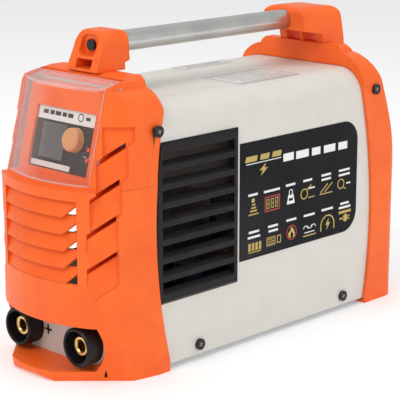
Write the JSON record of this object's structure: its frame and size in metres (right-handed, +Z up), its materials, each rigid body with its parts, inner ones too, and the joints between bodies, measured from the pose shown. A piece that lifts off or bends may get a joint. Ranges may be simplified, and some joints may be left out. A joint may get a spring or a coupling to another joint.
{
  "type": "stick welding inverter",
  "caption": "Portable stick welding power source: folded steel case between two moulded end bezels, tube carry handle, flip lid over the controls, front electrode sockets.",
  "frame": {"origin": "centre of the footprint, on the floor", "axes": "front panel with the sockets faces -Y, +X is the right flank seen from the front, +Z is up"},
  "size_m": [0.1486, 0.3714, 0.262],
  "materials": {
    "orange_moulding": "fine satin grain",
    "white_paint": "warm off-white powder coat",
    "zinc_steel": "zinc plated",
    "black_paint": "black powder coat",
    "black_plastic": "satin",
    "printed_film": "printed film with a dot pattern and plain pictograms",
    "brushed_tube": "brushed lengthways",
    "light_plastic": "satin",
    "brass": "turned",
    "dark_fascia": "gloss",
    "smoked_window": "smoked",
    "lamp_lens": "tinted",
    "steel_pin": "bright",
    "chrome_wire": "polished",
    "black_screw": "black oxide",
    "circuit_board": "solder resist",
    "aluminium": "extruded",
    "capacitor_sleeve": "sleeve",
    "ferrite": "sintered",
    "winding_tape": "tape",
    "copper": "bare copper bar",
    "clear_plastic": "clear moulded lid",
    "knob_plastic": "orange knob",
    "rocker_plastic": "red rocker"
  },
  "bodies": {
    "casing": {"base_tray": "zinc_steel", "bezel_screws": "black_screw", "board_standoffs": "steel_pin", "bulk_capacitors": "capacitor_sleeve", "busbar_negative": "copper", "busbar_positive": "copper", "cable_gland": "black_plastic", "control_board": "circuit_board", "control_panel": "dark_fascia", "cover": "white_paint", "cover_screws": "black_screw", "display_module": "black_plastic", "display_window": "smoked_window", "earth_stud": "brass", "fan_frame": "black_plastic", "fan_guard": "chrome_wire", "fan_screws": "black_screw", "front_bezel": "orange_moulding", "front_handle_bracket": "orange_moulding", "gland_nut": "black_plastic", "handle_screw": "black_screw", "handle_tube": "brushed_tube", "indicator_lamps": "lamp_lens", "input_bridge": "black_plastic", "inverter_heatsink": "aluminium", "lid_hinge_pin": "steel_pin", "main_board": "circuit_board", "output_choke": "winding_tape", "output_diodes": "black_plastic", "panel_overlay": "light_plastic", "potentiometer": "zinc_steel", "power_transistors": "black_plastic", "rear_bezel": "orange_moulding", "rear_handle_bracket": "orange_moulding", "rear_panel": "black_paint", "rectifier_heatsink": "aluminium", "side_grille_left": "black_plastic", "side_grille_right": "black_plastic", "side_label_left": "printed_film", "side_label_right": "printed_film", "socket_body_negative": "black_plastic", "socket_body_positive": "black_plastic", "socket_contact_negative": "brass", "socket_contact_positive": "brass", "socket_mount": "zinc_steel", "socket_nuts": "zinc_steel", "socket_plate": "light_plastic", "switch_body": "black_plastic", "transformer_core": "ferrite", "transformer_winding": "winding_tape"},
    "lid": {"flip_lid": "clear_plastic"},
    "knob": {"current_knob": "knob_plastic"},
    "fan": {"fan_rotor": "black_plastic"},
    "rocker": {"switch_rocker": "rocker_plastic"}
  },
  "joints": [
    {"name": "lid_hinge", "type": "hinge", "parent": "casing", "child": "lid", "pos_m": [0, -0.131, 0.2236], "axis": [-1, 0, 0], "range_deg": [0, 95]},
    {"name": "knob_turn", "type": "hinge", "parent": "casing", "child": "knob", "pos_m": [0.014, -0.14406, 0.182], "axis": [0, -0.9693, 0.246], "range_deg": [-140, 140]},
    {"name": "fan_spin", "type": "hinge", "parent": "casing", "child": "fan", "pos_m": [0, 0.14, 0.104], "axis": [0, 1, 0], "continuous": true},
    {"name": "rocker_tip", "type": "hinge", "parent": "casing", "child": "rocker", "pos_m": [0, 0.1525, 0.1725], "axis": [-1, 0, 0], "range_deg": [0, 18]}
  ]
}
